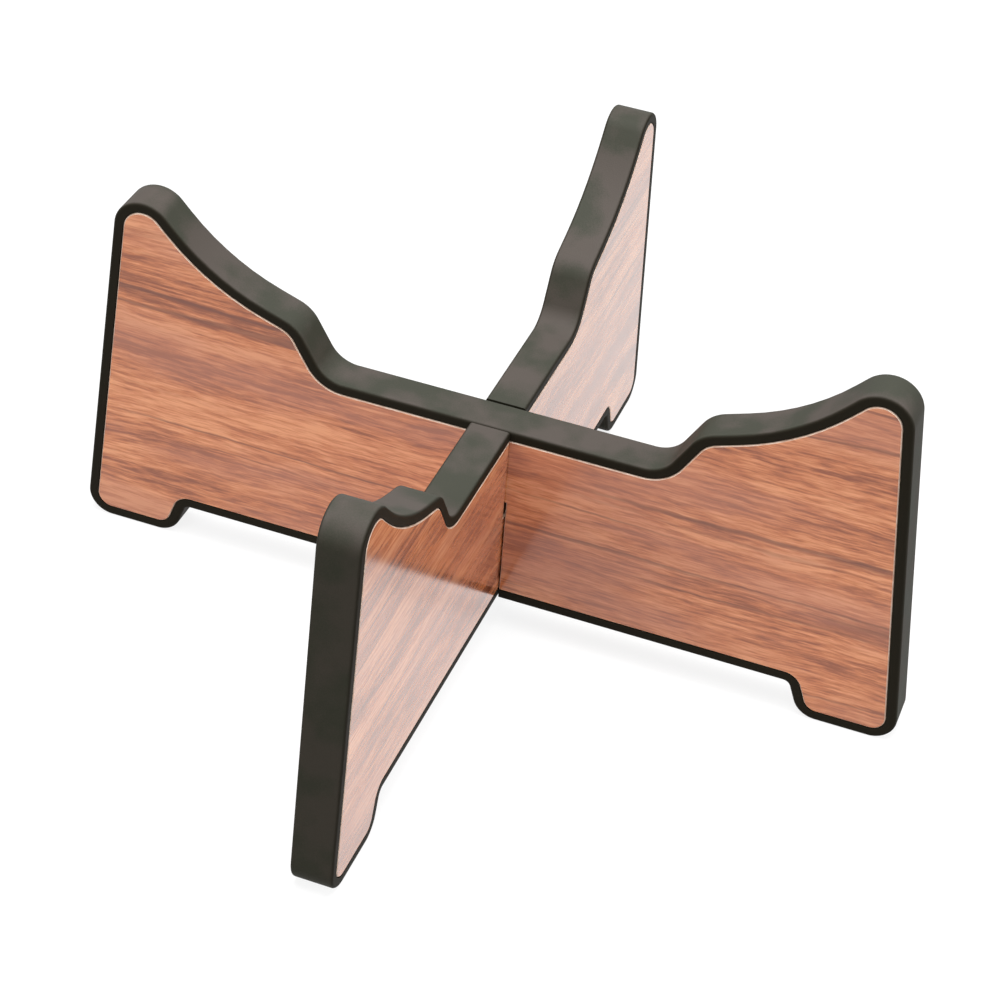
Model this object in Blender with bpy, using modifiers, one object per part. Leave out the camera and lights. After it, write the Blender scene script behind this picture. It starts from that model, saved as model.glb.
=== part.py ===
"""Handpan stand: two slotted boards that cross at their middles and stand on four feet.

Units are metres, +Z is up, and the origin lies on the floor under the crossing. The upper board runs
along X and its slot opens downward. The lower board runs along Y and its slot opens upward. Each board
is a core panel with a glossy laminate sheet on both faces and one dark strip glued round its edge.
"""

import math

import bmesh
import bpy
from mathutils import Vector
from mathutils.geometry import intersect_line_line_2d

# Heights of a board, from the floor up
FOOT_HEIGHT = 0.0185
BELLY_DEPTH = 0.0993
STEP_RISE = 0.0257
HORN_RISE = 0.0455

# Lengths of one arm, from the crossing outwards, before the corners are rounded
ARM_LENGTH = 0.2115
BELLY_HALF_LENGTH = 0.0832
STEP_RUN = 0.0153
FOOT_LENGTH = 0.0482
FOOT_RUN = 0.0067

# Slopes of one arm
SHOULDER_SLOPE = math.radians(19.2)
RAMP_SLOPE = math.radians(46.8)
SIDE_LEAN = math.radians(6.3)

# Radii of one arm's corners
BELLY_RADIUS = 0.016
SHOULDER_RADIUS = 0.018
SEAT_RADIUS = 0.114
HORN_RADIUS = 0.0154
HEEL_RADIUS = 0.0124
TOE_RADIUS = 0.0123
ARCH_RADIUS = 0.004

# Layers of a board
BOARD_THICKNESS = 0.020
LAMINATE_THICKNESS = 0.001
STRIP_DEPTH = 0.005
STRIP_EDGE_RADIUS = 0.0015
GLUE_LINE = 0.0003

# Slots of the cross lap
SLOT_PLAY = 0.0006
LOWER_WEB = 0.0495
LAP_GAP = 0.0085

# Fineness of the round stretches
DEGREES_PER_SEGMENT = 7.0
LONGEST_SEGMENT = 0.004
EDGE_SEGMENTS = 2

# Heights and sizes that follow from the above
BELLY_BOTTOM = FOOT_HEIGHT
BELLY_TOP = FOOT_HEIGHT + BELLY_DEPTH
HORN_TOP = BELLY_TOP + STEP_RISE + HORN_RISE
CORE_THICKNESS = BOARD_THICKNESS - 2 * (LAMINATE_THICKNESS + GLUE_LINE)
CORE_INSET = STRIP_DEPTH + GLUE_LINE
SLOT_WIDTH = BOARD_THICKNESS + 2 * SLOT_PLAY
LOWER_SLOT_FLOOR = BELLY_BOTTOM + LOWER_WEB
UPPER_SLOT_ROOF = LOWER_SLOT_FLOOR + LAP_GAP
OVERSHOOT = 0.010


def clear_scene():
    """Remove whatever the open file holds."""
    for old in list(bpy.data.objects):
        bpy.data.objects.remove(old, do_unlink=True)


def new_collection(name):
    collection = bpy.data.collections.new(name)
    bpy.context.scene.collection.children.link(collection)
    return collection


def make_material(name, colour, roughness):
    """A Principled material with the part's own colour and roughness."""
    material = bpy.data.materials.new(name)
    material.use_nodes = True
    shader = material.node_tree.nodes["Principled BSDF"]
    shader.inputs["Base Color"].default_value = (*colour, 1.0)
    shader.inputs["Roughness"].default_value = roughness
    shader.inputs["Metallic"].default_value = 0.0
    material.diffuse_color = (*colour, 1.0)
    return material


def along(slope, length=1.0):
    """A 2D step in the direction of a slope, measured from the outward horizontal."""
    return Vector((math.cos(slope), math.sin(slope))) * length


def crossing(start_a, slope_a, start_b, slope_b):
    """The point where two sloping lines meet. Each runs far past the board both ways."""
    reach = 4 * (ARM_LENGTH + HORN_TOP)
    a = along(slope_a, reach)
    b = along(slope_b, reach)
    return intersect_line_line_2d(start_a - a, start_a + a, start_b - b, start_b + b)


def arm_corners():
    """One arm's corners with their radii, from the top of the belly round the horn and foot to its bottom."""
    shoulder = Vector((BELLY_HALF_LENGTH + STEP_RUN, BELLY_TOP + STEP_RISE))
    heel = Vector((ARM_LENGTH, 0.0))
    side_slope = math.pi / 2 + SIDE_LEAN
    # The horn's arc touches the leaning side and reaches up to the top of the horn
    arc_height = HORN_TOP - HORN_RADIUS
    arc_x = ARM_LENGTH - (arc_height * math.sin(SIDE_LEAN) + HORN_RADIUS) / math.cos(SIDE_LEAN)
    ramp_touch = Vector((arc_x, arc_height)) + along(RAMP_SLOPE + math.pi / 2, HORN_RADIUS)
    seat = crossing(shoulder, SHOULDER_SLOPE, ramp_touch, RAMP_SLOPE)
    horn = crossing(ramp_touch, RAMP_SLOPE, heel, side_slope)
    toe_x = ARM_LENGTH - FOOT_LENGTH
    return [
        (Vector((0.0, BELLY_TOP)), 0.0),
        (Vector((BELLY_HALF_LENGTH, BELLY_TOP)), BELLY_RADIUS),
        (shoulder, SHOULDER_RADIUS),
        (seat, SEAT_RADIUS),
        (horn, HORN_RADIUS),
        (heel, HEEL_RADIUS),
        (Vector((toe_x, 0.0)), TOE_RADIUS),
        (Vector((toe_x - FOOT_RUN, BELLY_BOTTOM)), ARCH_RADIUS),
        (Vector((0.0, BELLY_BOTTOM)), 0.0),
    ]


def half_turns(points):
    """Half of the angle by which the outline turns at each inner point, positive to the right."""
    turns = []
    for before, here, after in zip(points, points[1:], points[2:]):
        turns.append((here - before).angle_signed(after - here) / 2)
    return turns


def fitted_radii(points, radii):
    """The radii, made smaller where two neighbouring arcs would not both fit on the side between them."""
    turns = half_turns(points)
    reaches = [0.0] + [radius * math.tan(abs(turn)) for radius, turn in zip(radii[1:-1], turns)] + [0.0]
    shares = []
    for start, end, reach_a, reach_b in zip(points, points[1:], reaches, reaches[1:]):
        shares.append(min(1.0, (end - start).length / max(reach_a + reach_b, 1e-9)))
    fitted = [radius * min(a, b) for radius, a, b in zip(radii[1:-1], shares, shares[1:])]
    return [0.0] + fitted + [0.0]


def arc_points(before, here, after, radius):
    """Points along the arc that rounds the corner at here."""
    turn = (here - before).angle_signed(after - here)
    arriving = (here - before).normalized()
    leaving = (after - here).normalized()
    reach = radius * math.tan(abs(turn) / 2)
    start = here - arriving * reach
    sideways = Vector((arriving.y, -arriving.x)) * math.copysign(1.0, turn)
    centre = start + sideways * radius
    by_angle = math.degrees(abs(turn)) / DEGREES_PER_SEGMENT
    by_length = radius * abs(turn) / LONGEST_SEGMENT
    count = max(1, math.ceil(max(by_angle, by_length)))
    points = []
    for step in range(count + 1):
        angle = abs(turn) * step / count
        points.append(centre - sideways * radius * math.cos(angle) + arriving * radius * math.sin(angle))
    points[-1] = here + leaving * reach
    return points


def arm_outline(inset):
    """One arm's outline as points, moved in from the board's edge by the inset."""
    points, radii = zip(*arm_corners())
    radii = fitted_radii(points, radii)
    turns = half_turns(points)
    moved = []
    for before, here, after, turn in zip(points, points[1:], points[2:], turns):
        arriving = (here - before).normalized()
        inward = Vector((arriving.y, -arriving.x))
        moved.append(here + (inward - arriving * math.tan(turn)) * inset)
    moved.insert(0, Vector((0.0, points[0].y - inset)))
    moved.append(Vector((0.0, points[-1].y + inset)))
    outline = []
    for index, turn in enumerate(turns, start=1):
        radius = radii[index] - math.copysign(inset, turn)
        outline += arc_points(moved[index - 1], moved[index], moved[index + 1], max(radius, 0.0))
    return outline


def board_outline(inset):
    """The closed outline of a whole board: one arm and its mirror image."""
    arm = arm_outline(inset)
    other = [Vector((-point.x, point.y)) for point in reversed(arm)]
    return arm + other


def make_plate(name, inset, thickness, collection):
    """A flat plate with the board's outline, standing on its edge and centred on its own middle plane."""
    curve = bpy.data.curves.new(name, "CURVE")
    curve.dimensions = "2D"
    curve.fill_mode = "BOTH"
    curve.extrude = thickness / 2
    outline = board_outline(inset)
    spline = curve.splines.new("POLY")
    spline.points.add(len(outline) - 1)
    for point, place in zip(spline.points, outline):
        point.co = (place.x, place.y, 0.0, 1.0)
    spline.use_cyclic_u = True
    guide = bpy.data.objects.new(name + "_outline", curve)
    guide.rotation_euler = (math.pi / 2, 0.0, 0.0)
    collection.objects.link(guide)
    bpy.context.view_layer.update()
    graph = bpy.context.evaluated_depsgraph_get()
    mesh = bpy.data.meshes.new_from_object(guide.evaluated_get(graph))
    mesh.name = name
    plate = bpy.data.objects.new(name, mesh)
    plate.matrix_world = guide.matrix_world.copy()
    collection.objects.link(plate)
    bpy.data.objects.remove(guide, do_unlink=True)
    weld_caps(mesh)
    return plate


def weld_caps(mesh):
    """Join the plate's two faces to its wall, and make each face one flat polygon."""
    shape = bmesh.new()
    shape.from_mesh(mesh)
    bmesh.ops.remove_doubles(shape, verts=shape.verts, dist=0.00001)
    inner_edges = [edge for edge in shape.edges if edge.is_manifold and edge.calc_face_angle() < 0.001]
    bmesh.ops.dissolve_edges(shape, edges=inner_edges, use_verts=False)
    bmesh.ops.recalc_face_normals(shape, faces=shape.faces)
    shape.to_mesh(mesh)
    shape.free()


def make_cutter(name, size, place, collection):
    """A block that only cuts other pieces."""
    bpy.ops.mesh.primitive_cube_add(size=1.0, location=place)
    block = bpy.context.object
    block.name = name
    for vertex in block.data.vertices:
        vertex.co = Vector(side * length for side, length in zip(vertex.co, size))
    move_to(block, collection)
    hide_helper(block)
    return block


def hide_helper(helper):
    helper.hide_render = True
    helper.display_type = "WIRE"


def move_to(item, collection):
    for old in list(item.users_collection):
        old.objects.unlink(item)
    collection.objects.link(item)


def cut(piece, cutter):
    modifier = piece.modifiers.new("cut_" + cutter.name, "BOOLEAN")
    modifier.operation = "DIFFERENCE"
    modifier.solver = "EXACT"
    modifier.object = cutter


def finish_piece(piece, material, board):
    """Give a piece its material and soft shading, and hang it on its board."""
    piece.data.materials.clear()
    piece.data.materials.append(material)
    piece.data.shade_smooth()
    piece.data.set_sharp_from_angle(angle=math.radians(30))
    piece.parent = board


def make_core(name, board, slot, parts, material):
    core = make_plate(name, CORE_INSET, CORE_THICKNESS, parts)
    cut(core, slot)
    finish_piece(core, material, board)


def make_edge_strip(name, board, slot, blank, parts, material):
    """The strip runs round the whole edge, from one side of the slot to the other."""
    strip = make_plate(name, 0.0, BOARD_THICKNESS, parts)
    rounding = strip.modifiers.new("rounded_edges", "BEVEL")
    rounding.limit_method = "ANGLE"
    rounding.angle_limit = math.radians(60)
    rounding.width = STRIP_EDGE_RADIUS
    rounding.segments = EDGE_SEGMENTS
    cut(strip, blank)
    cut(strip, slot)
    finish_piece(strip, material, board)


def make_laminate(name, board, slot, face, parts, material):
    """A thin sheet on one face of the core. The face is -1 for the board's front and 1 for its back."""
    sheet = make_plate(name, CORE_INSET, LAMINATE_THICKNESS, parts)
    sheet.location.y = face * (BOARD_THICKNESS - LAMINATE_THICKNESS) / 2
    cut(sheet, slot)
    finish_piece(sheet, material, board)


def make_board(name, turn, slot_range, face_names, parts, cutters, materials):
    """One board with its slot, built along X and then turned about the crossing by its empty."""
    board = bpy.data.objects.new(name, None)
    parts.objects.link(board)
    bottom, top = slot_range
    slot_size = (SLOT_WIDTH, 3 * BOARD_THICKNESS, top - bottom)
    slot = make_cutter(name + "_slot_cutter", slot_size, (0.0, 0.0, (bottom + top) / 2), cutters)
    blank = make_plate(name + "_blank_cutter", STRIP_DEPTH, 3 * BOARD_THICKNESS, cutters)
    hide_helper(blank)
    for helper in (slot, blank):
        helper.parent = board
    make_core(name + "_core", board, slot, parts, materials["core"])
    make_edge_strip(name + "_edge_strip", board, slot, blank, parts, materials["edge_strip"])
    for face, face_name in zip((-1, 1), face_names):
        make_laminate(f"{name}_laminate_{face_name}", board, slot, face, parts, materials["laminate"])
    board.rotation_euler.z = turn


def main():
    clear_scene()
    parts = new_collection("handpan_stand")
    cutters = new_collection("cutters")
    materials = {
        "core": make_material("core_fibreboard", (0.36, 0.24, 0.14), 0.80),
        "edge_strip": make_material("edge_strip_foam_rubber", (0.075, 0.070, 0.060), 0.62),
        "laminate": make_material("laminate_wood_gloss", (0.50, 0.23, 0.13), 0.18),
    }
    upper_slot = (BELLY_BOTTOM - OVERSHOOT, UPPER_SLOT_ROOF)
    lower_slot = (LOWER_SLOT_FLOOR, BELLY_TOP + OVERSHOOT)
    make_board("upper_board", 0.0, upper_slot, ("front", "back"), parts, cutters, materials)
    make_board("lower_board", math.pi / 2, lower_slot, ("right", "left"), parts, cutters, materials)
    bpy.context.view_layer.update()


main()
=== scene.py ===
# %% [markdown]
# # A handpan stand
# Two slotted boards cross at their middles and stand on four feet. Each board is a panel with a glossy
# wood laminate on both faces and a dark foam-rubber strip glued round its edge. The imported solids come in
# first as a fixed frame. Everything below sits on them, in metres, with +Z up and the floor at zero.

# %% Load the frame
import math

import bmesh
import bpy
from mathutils import Matrix, Vector
from mathutils.geometry import intersect_line_line_2d


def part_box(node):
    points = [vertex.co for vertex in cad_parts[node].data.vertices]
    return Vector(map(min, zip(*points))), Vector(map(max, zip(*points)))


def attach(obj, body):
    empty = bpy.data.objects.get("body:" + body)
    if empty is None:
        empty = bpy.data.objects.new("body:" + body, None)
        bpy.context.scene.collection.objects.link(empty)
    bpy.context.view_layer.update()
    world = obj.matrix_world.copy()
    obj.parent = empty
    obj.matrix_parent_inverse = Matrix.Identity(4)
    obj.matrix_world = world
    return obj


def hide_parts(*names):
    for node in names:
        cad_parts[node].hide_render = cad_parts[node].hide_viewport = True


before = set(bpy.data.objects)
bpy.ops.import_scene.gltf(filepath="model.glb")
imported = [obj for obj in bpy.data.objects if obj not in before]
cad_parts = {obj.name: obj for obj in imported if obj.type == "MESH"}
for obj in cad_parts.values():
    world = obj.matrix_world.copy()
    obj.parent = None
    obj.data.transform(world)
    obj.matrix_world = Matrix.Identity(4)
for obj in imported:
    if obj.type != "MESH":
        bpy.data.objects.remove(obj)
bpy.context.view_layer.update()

print("nodes:", sorted(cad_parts))

# %% [markdown]
# ## The camera
# The photograph looks down on the stand from its front right with a long lens, so the perspective is weak.
# A camera can be aimed with a Track To constraint or with a rotation. A rotation is used here, because the
# picture is also rolled a little: heading about Z, tilt about X, then roll about the line of sight.

# %% Camera
CAMERA_PLACE = Vector((0.3085, -0.9559, 0.8411))
CAMERA_HEADING = math.radians(17.65)
CAMERA_TILT = math.radians(52.43)
CAMERA_ROLL = math.radians(4.70)
CAMERA_LENS_MM = 95.84
SENSOR_MM = 36.0
NEAREST_SEEN = 0.01

camera_data = bpy.data.cameras.new("photo_camera")
camera_data.lens = CAMERA_LENS_MM
camera_data.sensor_width = SENSOR_MM
camera_data.clip_start = NEAREST_SEEN
camera = bpy.data.objects.new("photo_camera", camera_data)
bpy.context.scene.collection.objects.link(camera)
heading = Matrix.Rotation(CAMERA_HEADING, 4, "Z")
tilt = Matrix.Rotation(CAMERA_TILT, 4, "X")
roll = Matrix.Rotation(CAMERA_ROLL, 4, "Z")
camera.matrix_world = Matrix.Translation(CAMERA_PLACE) @ heading @ tilt @ roll
bpy.context.scene.camera = camera
print("camera stands", round(CAMERA_PLACE.length, 3), "m from the middle of the floor")

# %% [markdown]
# ## The outline of a board
# Both boards are cut to one outline, and each arm is the mirror image of the other. An arm is a belly that
# the instrument's bowl hangs over, a short steep shoulder, a long curved seat, a rounded horn, a leaning
# side and a foot. It could be traced point by point. Seven corners with a radius each say the same thing,
# and they stay easy to change.

# %% Sizes of the outline
FOOT_HEIGHT = 0.0185
BELLY_DEPTH = 0.0993
STEP_RISE = 0.0257
HORN_RISE = 0.0455
ARM_LENGTH = 0.2115
BELLY_HALF_LENGTH = 0.0832
STEP_RUN = 0.0153
FOOT_LENGTH = 0.0482
FOOT_RUN = 0.0067
SHOULDER_SLOPE = math.radians(19.2)
RAMP_SLOPE = math.radians(46.8)
SIDE_LEAN = math.radians(6.3)
BELLY_RADIUS = 0.016
SHOULDER_RADIUS = 0.018
SEAT_RADIUS = 0.114
HORN_RADIUS = 0.0154
HEEL_RADIUS = 0.0124
TOE_RADIUS = 0.0123
ARCH_RADIUS = 0.004

BELLY_BOTTOM = FOOT_HEIGHT
BELLY_TOP = FOOT_HEIGHT + BELLY_DEPTH
HORN_TOP = BELLY_TOP + STEP_RISE + HORN_RISE

strip_low, strip_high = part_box("upper_board_edge_strip")
BOARD_THICKNESS = strip_high.y - strip_low.y
print("board thickness", round(1000 * BOARD_THICKNESS, 2), "mm")
print("horn height", round(1000 * strip_high.z, 2), "mm, from the sizes", round(1000 * HORN_TOP, 2), "mm")


# %% Corners of one arm
def along(slope, length=1.0):
    """A flat step in the direction of a slope."""
    return Vector((math.cos(slope), math.sin(slope))) * length


def crossing(start_a, slope_a, start_b, slope_b):
    """The point where two sloping lines meet."""
    a = along(slope_a)
    b = along(slope_b)
    return intersect_line_line_2d(start_a - a, start_a + a, start_b - b, start_b + b)


def arm_corners():
    """The seven rounded corners of the right arm with their radii, clockwise from the belly."""
    shoulder = Vector((BELLY_HALF_LENGTH + STEP_RUN, BELLY_TOP + STEP_RISE))
    heel = Vector((ARM_LENGTH, 0.0))
    horn_height = HORN_TOP - HORN_RADIUS
    horn_x = ARM_LENGTH - (horn_height * math.sin(SIDE_LEAN) + HORN_RADIUS) / math.cos(SIDE_LEAN)
    ramp_touch = Vector((horn_x, horn_height)) + along(RAMP_SLOPE + math.pi / 2, HORN_RADIUS)
    seat = crossing(shoulder, SHOULDER_SLOPE, ramp_touch, RAMP_SLOPE)
    horn = crossing(ramp_touch, RAMP_SLOPE, heel, math.pi / 2 + SIDE_LEAN)
    toe_x = ARM_LENGTH - FOOT_LENGTH
    return [
        (Vector((BELLY_HALF_LENGTH, BELLY_TOP)), BELLY_RADIUS),
        (shoulder, SHOULDER_RADIUS),
        (seat, SEAT_RADIUS),
        (horn, HORN_RADIUS),
        (heel, HEEL_RADIUS),
        (Vector((toe_x, 0.0)), TOE_RADIUS),
        (Vector((toe_x - FOOT_RUN, BELLY_BOTTOM)), ARCH_RADIUS),
    ]


# %% [markdown]
# The cross lap gives each board one slot. The strip and the laminates stop at the slot, so their outline
# is open: it runs clockwise from one side of the slot's mouth, round both arms, to its other side.

# %% Corners of a whole board
SLOT_HALF_WIDTH = 0.0106
LOWER_SLOT_FLOOR = 0.068
UPPER_SLOT_ROOF = 0.0765


def board_corners(slot_opens_up):
    """Every corner from one side of the slot's mouth, clockwise to the other side."""
    right = arm_corners()
    left = [(Vector((-corner.x, corner.y)), radius) for corner, radius in reversed(right)]
    if slot_opens_up:
        inner, mouth, side = right + left, BELLY_TOP, SLOT_HALF_WIDTH
    else:
        inner, mouth, side = left + right, BELLY_BOTTOM, -SLOT_HALF_WIDTH
    return [(Vector((side, mouth)), 0.0)] + inner + [(Vector((-side, mouth)), 0.0)]


print("corners of a board:", len(board_corners(True)))

# %% [markdown]
# ## Carrying a shape round the outline
# A strip is one cross-section that travels round the board, and a sheet's edge is one point that does the
# same. A curve with a bevel object could do it. Here the shape slides along each straight with an extrude
# and turns round each corner with a spin, so every arc is a true arc and the section stays square to it.

# %% Slide and spin
DEGREES_PER_STEP = 4.0
FEWEST_STEPS = 2
SHORTEST_SLIDE = 1e-6
BOARD_NORMAL = Vector((0.0, 1.0, 0.0))


def in_board(point):
    """A point of the outline as a point of the board's middle plane."""
    return Vector((point.x, 0.0, point.y))


def of_kind(geometry, kind):
    return [item for item in geometry if isinstance(item, kind)]


def slide(shape, item, step):
    """Extrude a vertex or a face by a flat step, and return its far end."""
    if step.length < SHORTEST_SLIDE:
        return item
    if isinstance(item, bmesh.types.BMVert):
        moved = bmesh.ops.extrude_vert_indiv(shape, verts=[item])["verts"]
        end = moved[0]
    else:
        made = bmesh.ops.extrude_face_region(shape, geom=[item])["geom"]
        moved = of_kind(made, bmesh.types.BMVert)
        end = of_kind(made, bmesh.types.BMFace)[0]
    bmesh.ops.translate(shape, verts=moved, vec=in_board(step))
    return end


def spin(shape, item, centre, turn):
    """Turn a vertex or a face about a point of the board, and return its far end.

    A right turn is positive.
    """
    geometry = [item]
    if isinstance(item, bmesh.types.BMFace):
        geometry += list(item.edges) + list(item.verts)
    steps = max(FEWEST_STEPS, math.ceil(math.degrees(abs(turn)) / DEGREES_PER_STEP))
    last = bmesh.ops.spin(
        shape, geom=geometry, cent=in_board(centre), axis=BOARD_NORMAL, angle=turn, steps=steps,
    )["geom_last"]
    return of_kind(last, type(item))[0]


def carry_round(shape, item, corners):
    """Carry a vertex or a face round the outline, from its first corner to its last."""
    here = corners[0][0]
    for (before, _), (corner, radius), (after, _) in zip(corners, corners[1:], corners[2:]):
        arriving = (corner - before).normalized()
        leaving = (after - corner).normalized()
        turn = arriving.angle_signed(leaving)
        reach = radius * math.tan(abs(turn) / 2)
        sideways = Vector((arriving.y, -arriving.x)) * math.copysign(radius, turn)
        arc_start = corner - arriving * reach
        item = slide(shape, item, arc_start - here)
        item = spin(shape, item, arc_start + sideways, turn)
        here = corner + leaving * reach
    return slide(shape, item, corners[-1][0] - here)


def inward_at_start(corners):
    """The direction into the board at the start of the outline."""
    ahead = (corners[1][0] - corners[0][0]).normalized()
    return Vector((ahead.y, -ahead.x))


# %% [markdown]
# ## Turning a finished bmesh into a piece
# The lower board is the same as the upper one, a quarter turn about Z. The turn is made in the mesh, so
# that every object stays at the origin and a pattern on Object coordinates never slides.

# %% From bmesh to object
QUARTER_TURN = Matrix.Rotation(math.pi / 2, 3, "Z")
SHARP_ANGLE = math.radians(35)


def finish_mesh(name, shape, materials, board):
    """Turn the shape for its board, close it into an object and hang it on its body."""
    bmesh.ops.recalc_face_normals(shape, faces=shape.faces)
    if board == "lower_board":
        bmesh.ops.rotate(shape, verts=shape.verts, cent=(0.0, 0.0, 0.0), matrix=QUARTER_TURN)
    mesh = bpy.data.meshes.new(name)
    shape.to_mesh(mesh)
    shape.free()
    mesh.shade_smooth()
    mesh.set_sharp_from_angle(angle=SHARP_ANGLE)
    for material in materials:
        mesh.materials.append(material)
    piece = bpy.data.objects.new(name, mesh)
    bpy.context.scene.collection.objects.link(piece)
    normals = piece.modifiers.new("flat_faces_lead", "WEIGHTED_NORMAL")
    normals.keep_sharp = True
    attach(piece, board)
    print(name, "has", len(mesh.polygons), "faces")
    return piece


# %% [markdown]
# ## Helpers for materials
# Each material is a Principled shader fed by a few noise patterns. A stretched noise makes grain, a plain
# one makes blotches, and a Color Ramp turns a value into colours.

# %% Node helpers
def new_material(name):
    material = bpy.data.materials.new(name)
    material.use_nodes = True
    tree = material.node_tree
    return material, tree, tree.nodes["Principled BSDF"]


def noise(tree, vector, stretch, detail=3.0, roughness=0.5, seed=0.0):
    """A noise on coordinates in metres, stretched to so many waves a metre along each axis."""
    mapping = tree.nodes.new("ShaderNodeMapping")
    mapping.inputs["Location"].default_value = (seed, seed, seed)
    mapping.inputs["Scale"].default_value = stretch
    texture = tree.nodes.new("ShaderNodeTexNoise")
    texture.inputs["Scale"].default_value = 1.0
    texture.inputs["Detail"].default_value = detail
    texture.inputs["Roughness"].default_value = roughness
    tree.links.new(vector, mapping.inputs["Vector"])
    tree.links.new(mapping.outputs["Vector"], texture.inputs["Vector"])
    return texture.outputs["Fac"]


def math_node(tree, operation, a, b=0.0):
    """One sum on two values, each a number or another node's output."""
    node = tree.nodes.new("ShaderNodeMath")
    node.operation = operation
    for socket, value in zip(node.inputs, (a, b)):
        if isinstance(value, bpy.types.NodeSocket):
            tree.links.new(value, socket)
        else:
            socket.default_value = value
    return node.outputs["Value"]


def weighted_sum(tree, parts):
    """Half, plus each pattern's swing about half times its weight."""
    total = 0.5
    for pattern, weight in parts:
        swing = math_node(tree, "SUBTRACT", pattern, 0.5)
        total = math_node(tree, "ADD", math_node(tree, "MULTIPLY", swing, weight), total)
    return total


def ramp(tree, value, stops):
    """A Color Ramp with a colour at each place."""
    node = tree.nodes.new("ShaderNodeValToRGB")
    elements = node.color_ramp.elements
    while len(elements) < len(stops):
        elements.new(0.5)
    for element, (place, colour) in zip(elements, stops):
        element.position = place
        element.color = (*colour, 1.0)
    tree.links.new(value, node.inputs["Fac"])
    return node.outputs["Color"]


def step_up(tree, value, start, end):
    """A smooth rise from 0 at start to 1 at end."""
    node = tree.nodes.new("ShaderNodeMapRange")
    node.interpolation_type = "SMOOTHSTEP"
    node.inputs["From Min"].default_value = start
    node.inputs["From Max"].default_value = end
    tree.links.new(value, node.inputs["Value"])
    return node.outputs["Result"]


# A Mix node has an A, a B and a Result for each data type, so the colour ones are taken by their place.
MIX_COLOUR_A = 6
MIX_COLOUR_B = 7
MIX_COLOUR_RESULT = 2


def mix_colours(tree, factor, a, b):
    """The colour a where the factor is 0, and b where it is 1."""
    node = tree.nodes.new("ShaderNodeMix")
    node.data_type = "RGBA"
    sockets = (node.inputs["Factor"], node.inputs[MIX_COLOUR_A], node.inputs[MIX_COLOUR_B])
    for socket, value in zip(sockets, (factor, a, b)):
        if isinstance(value, bpy.types.NodeSocket):
            tree.links.new(value, socket)
        elif isinstance(value, tuple):
            socket.default_value = (*value, 1.0)
        else:
            socket.default_value = value
    return node.outputs[MIX_COLOUR_RESULT]


def bump(tree, height, strength, distance):
    node = tree.nodes.new("ShaderNodeBump")
    node.inputs["Strength"].default_value = strength
    node.inputs["Distance"].default_value = distance
    tree.links.new(height, node.inputs["Height"])
    return node.outputs["Normal"]


# %% [markdown]
# ## The wood laminate
# The real sheet is a reddish wood print under clear gloss. Its grain runs along the board in fine wavy
# streaks, with soft bands, blotches, dusky patches and a few long dark lines. An image of wood could be
# laid on it. Noise squeezed in one direction needs no image and can be tuned band by band. The grain has to
# follow the board and differ from sheet to sheet, so it reads a UV map in metres: across is the way along
# the board, up is the height. First that height is bent a little, by a slow noise and by a quick faint one,
# so that every pattern laid on it sways like grown wood.

# %% Swaying grain coordinates
GRAIN_UV = "grain"
SWAY_WAVES = (7.0, 14.0, 1.0)
SWAY = 0.009
SHIVER_WAVES = (75.0, 60.0, 1.0)
SHIVER = 0.0014


def shift_by(tree, pattern, most):
    """A pattern's swing about half, as a shift in metres."""
    return math_node(tree, "MULTIPLY", math_node(tree, "SUBTRACT", pattern, 0.5), most)


def swaying_grain(tree):
    """The sheet's UV map with its height bent, so that straight streaks become wavy ones."""
    uv = tree.nodes.new("ShaderNodeUVMap")
    uv.uv_map = GRAIN_UV
    split = tree.nodes.new("ShaderNodeSeparateXYZ")
    tree.links.new(uv.outputs["UV"], split.inputs["Vector"])
    sway = shift_by(tree, noise(tree, uv.outputs["UV"], SWAY_WAVES, detail=2.0), SWAY)
    shiver = shift_by(tree, noise(tree, uv.outputs["UV"], SHIVER_WAVES, detail=2.0, seed=2.0), SHIVER)
    height = math_node(tree, "ADD", split.outputs["Y"], math_node(tree, "ADD", sway, shiver))
    join = tree.nodes.new("ShaderNodeCombineXYZ")
    tree.links.new(split.outputs["X"], join.inputs["X"])
    tree.links.new(height, join.inputs["Y"])
    return join.outputs["Vector"]


# %% [markdown]
# A long dark line could be drawn as a curve. A noise that is stretched far along the board does it by
# itself: the places where its value is close to half form thin contour lines, and a second noise lets them
# fade in and out.

# %% Long dark lines
LINE_WAVES = (1.6, 62.0, 1.0)
LINE_CORE = 0.004
LINE_EDGE = 0.032
FADE_WAVES = (5.0, 34.0, 1.0)
FADE_STARTS = 0.46
FADE_FULL = 0.60
LINE_SHARE = 0.65


def dark_lines(tree, grain):
    """The share of the line colour at each place, from 0 off the lines."""
    contour = noise(tree, grain, LINE_WAVES, detail=2.0, roughness=0.35, seed=19.0)
    from_contour = math_node(tree, "ABSOLUTE", math_node(tree, "SUBTRACT", contour, 0.5))
    thin = math_node(tree, "SUBTRACT", 1.0, step_up(tree, from_contour, LINE_CORE, LINE_EDGE))
    where = step_up(tree, noise(tree, grain, FADE_WAVES, detail=1.0, seed=23.0), FADE_STARTS, FADE_FULL)
    return math_node(tree, "MULTIPLY", math_node(tree, "MULTIPLY", thin, where), LINE_SHARE)


# %% [markdown]
# Four noises make the tone, from the longest to the finest: bands, blotches, streaks and fibres. Their
# weighted sum picks a colour between dark and light. Dusky patches and the dark lines are mixed in after
# that. The gloss is a clear coat over a surface that is nearly as smooth, which gives a soft reflection
# where a sheet is seen at a low angle.

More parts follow.
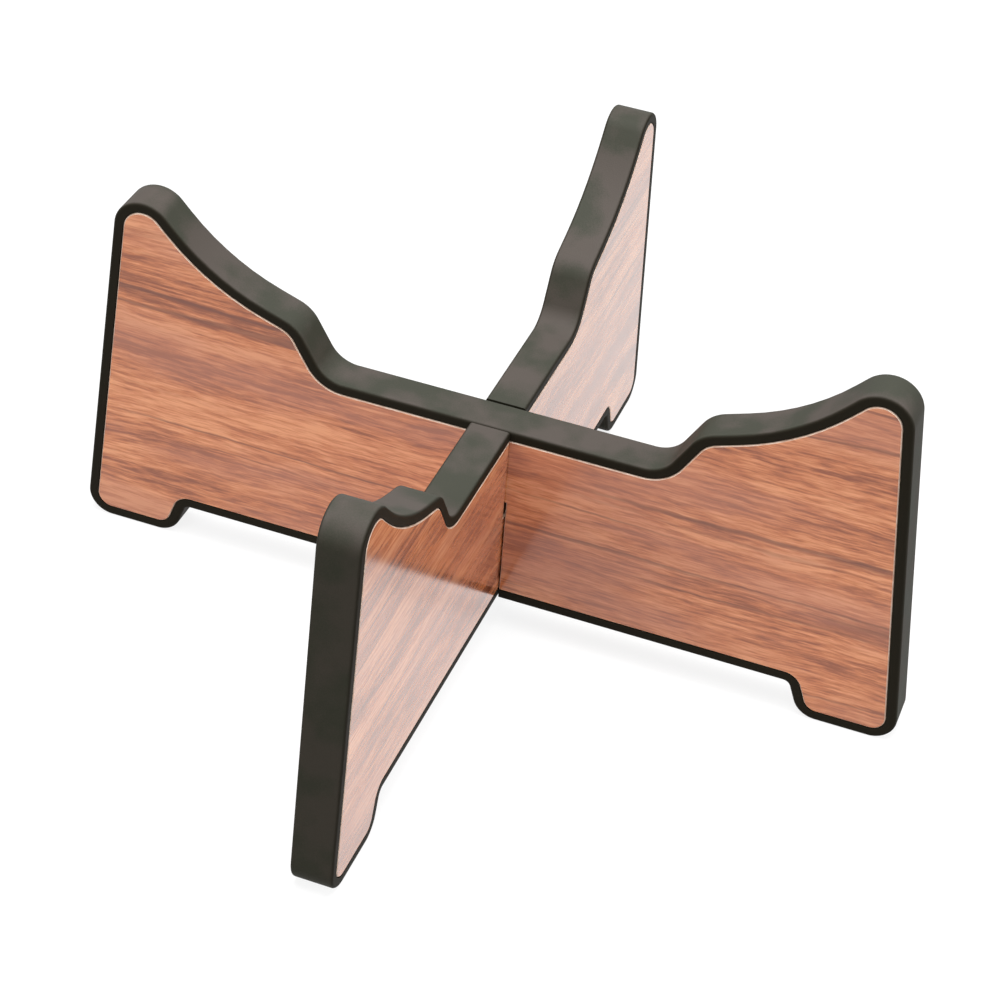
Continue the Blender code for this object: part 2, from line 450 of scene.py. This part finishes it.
# %% Laminate material
WOOD_DARK = (0.26, 0.062, 0.018)
WOOD_MIDDLE = (0.54, 0.168, 0.056)
WOOD_LIGHT = (0.76, 0.315, 0.140)
WOOD_LINE = (0.13, 0.032, 0.014)
WOOD_DUSKY = (0.47, 0.185, 0.118)
WOOD_STOPS = ((0.20, WOOD_DARK), (0.50, WOOD_MIDDLE), (0.82, WOOD_LIGHT))
FIBRE_WAVES = (85.0, 950.0, 1.0)
STREAK_WAVES = (34.0, 430.0, 1.0)
BAND_WAVES = (2.0, 60.0, 1.0)
BLOTCH_WAVES = (20.0, 45.0, 1.0)
DUSKY_WAVES = (8.0, 32.0, 1.0)
DUSKY_STARTS = 0.42
DUSKY_FULL = 0.66
DUSKY_SHARE = 0.42
SMOOTHEST = 0.17
STREAK_ROUGHENS = 0.08
FIBRE_RELIEF = 0.0001
CLEAR_COAT = 0.88
CLEAR_COAT_ROUGHNESS = 0.14


def make_laminate_material():
    material, tree, shader = new_material("glossy_wood_laminate")
    grain = swaying_grain(tree)
    fibre = noise(tree, grain, FIBRE_WAVES, detail=3.0, roughness=0.65)
    streak = noise(tree, grain, STREAK_WAVES, detail=3.0, roughness=0.60, seed=3.0)
    band = noise(tree, grain, BAND_WAVES, detail=3.0, seed=7.0)
    blotch = noise(tree, grain, BLOTCH_WAVES, detail=4.0, seed=11.0)
    tone = weighted_sum(tree, ((fibre, 0.90), (streak, 1.35), (band, 1.20), (blotch, 0.65)))
    colour = ramp(tree, tone, WOOD_STOPS)
    patches = noise(tree, grain, DUSKY_WAVES, detail=3.0, seed=29.0)
    dusk = math_node(tree, "MULTIPLY", step_up(tree, patches, DUSKY_STARTS, DUSKY_FULL), DUSKY_SHARE)
    colour = mix_colours(tree, dusk, colour, WOOD_DUSKY)
    colour = mix_colours(tree, dark_lines(tree, grain), colour, WOOD_LINE)
    tree.links.new(colour, shader.inputs["Base Color"])

    roughness = math_node(tree, "ADD", math_node(tree, "MULTIPLY", streak, STREAK_ROUGHENS), SMOOTHEST)
    tree.links.new(roughness, shader.inputs["Roughness"])
    tree.links.new(bump(tree, fibre, 0.02, FIBRE_RELIEF), shader.inputs["Normal"])
    shader.inputs["IOR"].default_value = 1.5
    shader.inputs["Specular IOR Level"].default_value = 0.30
    shader.inputs["Coat Weight"].default_value = CLEAR_COAT
    shader.inputs["Coat Roughness"].default_value = CLEAR_COAT_ROUGHNESS
    return material


LAMINATE = make_laminate_material()

# %% [markdown]
# The sheet's cut rim is bare and paler than its face, and shows as a hairline inside the dark strip.

# %% Cut rim material
RIM_DARK = (0.60, 0.40, 0.29)
RIM_LIGHT = (0.80, 0.62, 0.50)
SPECKLE_WAVES = (260.0, 260.0, 260.0)


def make_rim_material():
    material, tree, shader = new_material("pale_cut_rim")
    coords = tree.nodes.new("ShaderNodeTexCoord").outputs["Object"]
    speckle = noise(tree, coords, SPECKLE_WAVES, detail=4.0)
    tree.links.new(ramp(tree, speckle, ((0.35, RIM_DARK), (0.65, RIM_LIGHT))), shader.inputs["Base Color"])
    shader.inputs["Roughness"].default_value = 0.45
    return material


RIM = make_rim_material()

# %% [markdown]
# ## The laminate sheets
# A sheet is a flat outline with a notch for the slot, a millimetre thick, with its outer rim eased. A
# Boolean could cut the notch from a full plate. Carrying one point round the outline and then down and up
# the slot gives the same face with no cut, and an inset of that face makes the eased rim.

# %% Make a sheet
STRIP_DEPTH = 0.005
GLUE_LINE = 0.0003
SHEET_INSET = STRIP_DEPTH + GLUE_LINE
LAMINATE_THICKNESS = 0.001
RIM_WIDTH = 0.0005


def paint_grain(shape, shift):
    """Lay the grain's UV map in metres: the way along the board and the height, moved for each sheet."""
    layer = shape.loops.layers.uv.new(GRAIN_UV)
    for face in shape.faces:
        for corner in face.loops:
            place = corner.vert.co
            corner[layer].uv = (place.x + shift[0], place.z + shift[1])


def make_sheet(name, board, slot_opens_up, side, shift):
    """A sheet on one face of a board. The side is -1 for the face towards -Y before the board is turned."""
    shape = bmesh.new()
    corners = board_corners(slot_opens_up)
    first = corners[0][0] + inward_at_start(corners) * SHEET_INSET
    start = shape.verts.new(in_board(first))
    end = carry_round(shape, start, corners)
    slot_end = LOWER_SLOT_FLOOR if slot_opens_up else UPPER_SLOT_ROOF
    end = slide(shape, end, Vector((0.0, slot_end - first.y)))
    end = slide(shape, end, Vector((2 * first.x, 0.0)))
    shape.edges.new((end, start))
    flat = bmesh.ops.contextual_create(shape, geom=shape.edges[:])["faces"][0]
    under = side * (BOARD_THICKNESS / 2 - LAMINATE_THICKNESS)
    bmesh.ops.translate(shape, verts=shape.verts, vec=(0.0, under, 0.0))
    made = bmesh.ops.extrude_face_region(shape, geom=[flat])["geom"]
    face = of_kind(made, bmesh.types.BMFace)[0]
    bmesh.ops.translate(shape, verts=face.verts, vec=(0.0, side * (LAMINATE_THICKNESS - RIM_WIDTH), 0.0))
    bmesh.ops.recalc_face_normals(shape, faces=shape.faces)
    bmesh.ops.inset_region(shape, faces=[face], thickness=RIM_WIDTH, use_even_offset=True)
    bmesh.ops.translate(shape, verts=face.verts, vec=(0.0, side * RIM_WIDTH, 0.0))
    for other in shape.faces:
        other.material_index = 1
    face.material_index = 0
    paint_grain(shape, shift)
    return finish_mesh(name, shape, (LAMINATE, RIM), board)


# %% [markdown]
# Each board has a sheet on both faces, and one loop makes all four. The last pair of numbers moves a sheet
# to its own stretch of the grain, so that no two look alike.

# %% All four sheets
SHEETS = (
    ("upper_board", False, -1, "front", (0.37, 0.00)),
    ("upper_board", False, 1, "back", (1.91, 0.40)),
    ("lower_board", True, -1, "right", (3.13, 0.90)),
    ("lower_board", True, 1, "left", (4.57, 1.30)),
)

for board, slot_opens_up, side, face_name, shift in SHEETS:
    sheet = make_sheet(f"{board}_wood_{face_name}", board, slot_opens_up, side, shift)
    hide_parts(f"{board}_laminate_{face_name}")

# %% [markdown]
# ## The foam-rubber edge strip
# The strip is a dense dark foam, matt, with a faint greenish and brownish mottle. Its outer face catches
# the light from above, and its narrow faces beside the wood are cut, denser and darker. Two materials could
# show that with a hard border. Instead a value stored on the mesh's points says how far round the rounded
# edge a point is, and the material darkens with it. The faces that look up also get painted light: a paler
# colour with the same mottle, led by the object's own normal.

# %% Strip material
STRIP_GREEN = (0.026, 0.026, 0.018)
STRIP_BROWN = (0.036, 0.031, 0.024)
STRIP_CUT = (0.012, 0.010, 0.006)
# Painted light: paler colours that the faces looking up are mixed towards, standing in for light from above.
PAINTED_LIGHT_GREEN = (0.078, 0.081, 0.068)
PAINTED_LIGHT_BROWN = (0.140, 0.120, 0.112)
GREENEST = 0.25
BROWNEST = 0.75
MOTTLE_WAVES = (45.0, 45.0, 45.0)
PORE_WAVES = (1400.0, 1400.0, 1400.0)
PORE_DEPTH = 0.0003
PAINTED_LIGHT_STARTS = 0.2
PAINTED_LIGHT_FULL = 0.95
PAINTED_LIGHT_SHARE = 0.33
SMOOTHEST_FOAM = 0.48
MOTTLE_ROUGHENS = 0.15
CUT_VALUE = "cut_face"


def make_strip_material():
    material, tree, shader = new_material("dark_foam_rubber")
    places = tree.nodes.new("ShaderNodeTexCoord").outputs
    coords = places["Object"]
    mottle = noise(tree, coords, MOTTLE_WAVES, detail=2.5, roughness=0.45)
    pores = noise(tree, coords, PORE_WAVES, detail=2.0, seed=5.0)
    tone = weighted_sum(tree, ((mottle, 2.6), (pores, 0.5)))
    colour = ramp(tree, tone, ((GREENEST, STRIP_GREEN), (BROWNEST, STRIP_BROWN)))
    # Painted light: a paler copy of the mottle, laid on the faces that look up by the object's normal.
    painted_light_colour = ramp(tree, tone, ((GREENEST, PAINTED_LIGHT_GREEN), (BROWNEST, PAINTED_LIGHT_BROWN)))
    facing = tree.nodes.new("ShaderNodeSeparateXYZ")
    tree.links.new(places["Normal"], facing.inputs["Vector"])
    upward = step_up(tree, facing.outputs["Z"], PAINTED_LIGHT_STARTS, PAINTED_LIGHT_FULL)
    colour = mix_colours(tree, math_node(tree, "MULTIPLY", upward, PAINTED_LIGHT_SHARE), colour, painted_light_colour)
    cut = tree.nodes.new("ShaderNodeAttribute")
    cut.attribute_name = CUT_VALUE
    colour = mix_colours(tree, cut.outputs["Fac"], colour, STRIP_CUT)
    tree.links.new(colour, shader.inputs["Base Color"])
    roughness = math_node(tree, "MULTIPLY", mottle, MOTTLE_ROUGHENS)
    roughness = math_node(tree, "ADD", roughness, SMOOTHEST_FOAM)
    tree.links.new(roughness, shader.inputs["Roughness"])
    tree.links.new(bump(tree, pores, 0.20, PORE_DEPTH), shader.inputs["Normal"])
    shader.inputs["Specular IOR Level"].default_value = 0.05
    return material


STRIP = make_strip_material()

# %% [markdown]
# The strip's section starts as a single quad. Vertex bevels round its two outer corners, and ease the two
# that meet the wood, so a fine dark joint shows there. The section is then carried round the board. An
# extruded lone face keeps its first copy, so both ends at the slot come out closed.

# %% Make a strip
STRIP_EDGE_RADIUS = 0.0015
STRIP_EDGE_SEGMENTS = 5
JOINT_EASE = 0.0003
JOINT_EASE_SEGMENTS = 2
CUT_STARTS = 0.0012
CUT_FULL = 0.0002


def make_section(shape, place, inward):
    """The strip's cross-section: a quad square to the outline's start, with its corners rounded."""
    size = Matrix.Diagonal((STRIP_DEPTH / 2, BOARD_THICKNESS / 2, 1.0, 1.0))
    upright = Matrix.Rotation(math.pi / 2, 4, "Y")
    centre = Matrix.Translation(in_board(place + inward * STRIP_DEPTH / 2))
    bmesh.ops.create_grid(shape, x_segments=1, y_segments=1, size=1.0, matrix=centre @ upright @ size)
    outer = [vert for vert in shape.verts if abs(vert.co.z - place.y) < STRIP_DEPTH / 2]
    inner = [vert for vert in shape.verts if abs(vert.co.z - place.y) > STRIP_DEPTH / 2]
    for verts, radius, segments in (
        (outer, STRIP_EDGE_RADIUS, STRIP_EDGE_SEGMENTS),
        (inner, JOINT_EASE, JOINT_EASE_SEGMENTS),
    ):
        bmesh.ops.bevel(
            shape, geom=verts, offset=radius, offset_type="OFFSET", segments=segments,
            profile=0.5, affect="VERTICES", material=-1,
        )
    return shape.faces[:][0]


def mark_cut_faces(shape):
    """Store 1 on the narrow faces beside the wood and 0 on the outer face, with a soft step between."""
    layer = shape.verts.layers.float.new(CUT_VALUE)
    for vert in shape.verts:
        from_face = BOARD_THICKNESS / 2 - abs(vert.co.y)
        share = (CUT_STARTS - from_face) / (CUT_STARTS - CUT_FULL)
        vert[layer] = min(1.0, max(0.0, share))


def make_strip(name, board, slot_opens_up):
    shape = bmesh.new()
    corners = board_corners(slot_opens_up)
    section = make_section(shape, corners[0][0], inward_at_start(corners))
    carry_round(shape, section, corners)
    mark_cut_faces(shape)
    return finish_mesh(name, shape, (STRIP,), board)


for board, slot_opens_up in (("upper_board", False), ("lower_board", True)):
    strip = make_strip(f"{board}_foam_strip", board, slot_opens_up)
    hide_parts(f"{board}_edge_strip")

# %% [markdown]
# ## The core panels
# The cores keep the frame's own solids, because only their slot walls ever show, when a board is lifted
# out. They get a fibreboard finish: brown pressed fibres, denser and darker towards both faces. The
# thickness of the upper core runs along Y and that of the lower core along X.

# %% Core material
CORE_PALE = (0.42, 0.29, 0.18)
CORE_DARK = (0.22, 0.13, 0.07)
PRESSED_FIBRE_WAVES = (500.0, 500.0, 900.0)
CLUMP_WAVES = (120.0, 120.0, 120.0)
SKIN_STARTS = 0.25 * BOARD_THICKNESS
SKIN_FULL = 0.44 * BOARD_THICKNESS
SKIN_DARKENS = 0.18
PRESSED_FIBRE_RELIEF = 0.0004


def make_core_material(name, across):
    """Fibreboard whose thickness runs along the axis named by across, X or Y."""
    material, tree, shader = new_material(name)
    coords = tree.nodes.new("ShaderNodeTexCoord").outputs["Object"]
    fibres = noise(tree, coords, PRESSED_FIBRE_WAVES, detail=4.0, roughness=0.65)
    clumps = noise(tree, coords, CLUMP_WAVES, detail=3.0, seed=9.0)
    split = tree.nodes.new("ShaderNodeSeparateXYZ")
    tree.links.new(coords, split.inputs["Vector"])
    depth = math_node(tree, "ABSOLUTE", split.outputs[across])
    skin = step_up(tree, depth, SKIN_STARTS, SKIN_FULL)
    tone = weighted_sum(tree, ((fibres, 0.9), (clumps, 0.5)))
    tone = math_node(tree, "SUBTRACT", tone, math_node(tree, "MULTIPLY", skin, SKIN_DARKENS))
    colour = ramp(tree, tone, ((0.25, CORE_DARK), (0.60, CORE_PALE)))
    tree.links.new(colour, shader.inputs["Base Color"])
    tree.links.new(bump(tree, fibres, 0.4, PRESSED_FIBRE_RELIEF), shader.inputs["Normal"])
    shader.inputs["Roughness"].default_value = 0.85
    return material


for board, across in (("upper_board", "Y"), ("lower_board", "X")):
    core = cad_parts[f"{board}_core"]
    core.data.materials.clear()
    core.data.materials.append(make_core_material(f"{board}_fibreboard", across))

# %% [markdown]
# ## Floor, world and light
# The photograph is a product picture on white, with a very soft shadow. A brighter lamp would whiten the
# floor, but it would bleach the wood too. So the floor glows near white by itself where it is seen, and
# adds a share of its real shading, which keeps the shadow. The glow rises to full white away from the
# stand.

# %% Floor
FLOOR_HALF_SIZE = 3.0
FLOOR_DROP = 0.0001
FLOOR_BOUNCE = (0.42, 0.42, 0.42)
FLOOR_SHADE = (0.17, 0.17, 0.17)
FLOOR_GLOW_NEAR = 0.86
FLOOR_GLOW_FAR = 1.0
GLOW_RISE_STARTS = 0.45
GLOW_RISE_ENDS = 1.4


def seen_directly(tree):
    """1 for a ray from the camera, a mirror or a glass, and 0 for light that bounces on."""
    rays = tree.nodes.new("ShaderNodeLightPath").outputs
    seen = math_node(tree, "MAXIMUM", rays["Is Camera Ray"], rays["Is Glossy Ray"])
    return math_node(tree, "MAXIMUM", seen, rays["Is Transmission Ray"])


def make_floor_material():
    material, tree, shader = new_material("white_studio_floor")
    tree.nodes.remove(shader)
    output = tree.nodes["Material Output"]
    seen = seen_directly(tree)
    coords = tree.nodes.new("ShaderNodeTexCoord").outputs["Object"]
    length = tree.nodes.new("ShaderNodeVectorMath")
    length.operation = "LENGTH"
    tree.links.new(coords, length.inputs[0])
    away = step_up(tree, length.outputs["Value"], GLOW_RISE_STARTS, GLOW_RISE_ENDS)
    glow = math_node(tree, "MULTIPLY", away, FLOOR_GLOW_FAR - FLOOR_GLOW_NEAR)
    glow = math_node(tree, "ADD", glow, FLOOR_GLOW_NEAR)
    emission = tree.nodes.new("ShaderNodeEmission")
    tree.links.new(math_node(tree, "MULTIPLY", glow, seen), emission.inputs["Strength"])
    diffuse = tree.nodes.new("ShaderNodeBsdfDiffuse")
    tree.links.new(mix_colours(tree, seen, FLOOR_BOUNCE, FLOOR_SHADE), diffuse.inputs["Color"])
    both = tree.nodes.new("ShaderNodeAddShader")
    tree.links.new(emission.outputs["Emission"], both.inputs[0])
    tree.links.new(diffuse.outputs["BSDF"], both.inputs[1])
    tree.links.new(both.outputs["Shader"], output.inputs["Surface"])
    return material


def make_floor():
    shape = bmesh.new()
    place = Matrix.Translation((0.0, 0.0, -FLOOR_DROP))
    bmesh.ops.create_grid(shape, x_segments=1, y_segments=1, size=FLOOR_HALF_SIZE, matrix=place)
    mesh = bpy.data.meshes.new("studio_floor")
    shape.to_mesh(mesh)
    shape.free()
    mesh.materials.append(make_floor_material())
    floor = bpy.data.objects.new("studio_floor", mesh)
    bpy.context.scene.collection.objects.link(floor)


make_floor()

# %% [markdown]
# The world is white where it is seen or mirrored. As a source of light it is a dim grey, because an even
# white from all sides would bring every face to much the same brightness.

# %% World
WORLD_LIGHT = 0.24


def make_world():
    world = bpy.data.worlds.new("white_studio")
    world.use_nodes = True
    tree = world.node_tree
    background = tree.nodes["Background"]
    background.inputs["Color"].default_value = (1.0, 1.0, 1.0, 1.0)
    seen = seen_directly(tree)
    strength = math_node(tree, "MULTIPLY", seen, 1.0 - WORLD_LIGHT)
    tree.links.new(math_node(tree, "ADD", strength, WORLD_LIGHT), background.inputs["Strength"])
    bpy.context.scene.world = world


make_world()

# %% [markdown]
# The photograph's shadow is very soft, so three broad square area lamps are used. The largest hangs overhead
# and is the strongest, because there the strip's top gives over twice the light of its upright near end.
# One from the front left lights the upper board's front, and a weaker one from the right lights the lower
# board's right face. The Standard view transform adds no film look to the colours.

# %% Lamps
LAMPS = (
    ("overhead_softbox", (0.05, -0.05, 1.60), 1.20, 42.0),
    ("left_softbox", (-0.75, -1.65, 1.00), 0.80, 15.0),
    ("right_softbox", (1.60, -0.10, 0.80), 0.90, 9.5),
)


def make_lamp(name, place, size, watts):
    """A square soft lamp that faces the middle of the stand."""
    data = bpy.data.lights.new(name, "AREA")
    data.size = size
    data.energy = watts
    lamp = bpy.data.objects.new(name, data)
    lamp.location = place
    towards = Vector((0.0, 0.0, BELLY_TOP)) - lamp.location
    lamp.rotation_euler = towards.to_track_quat("-Z", "Y").to_euler()
    bpy.context.scene.collection.objects.link(lamp)


for lamp in LAMPS:
    make_lamp(*lamp)
bpy.context.scene.view_settings.view_transform = "Standard"
print("lamps:", len(LAMPS))
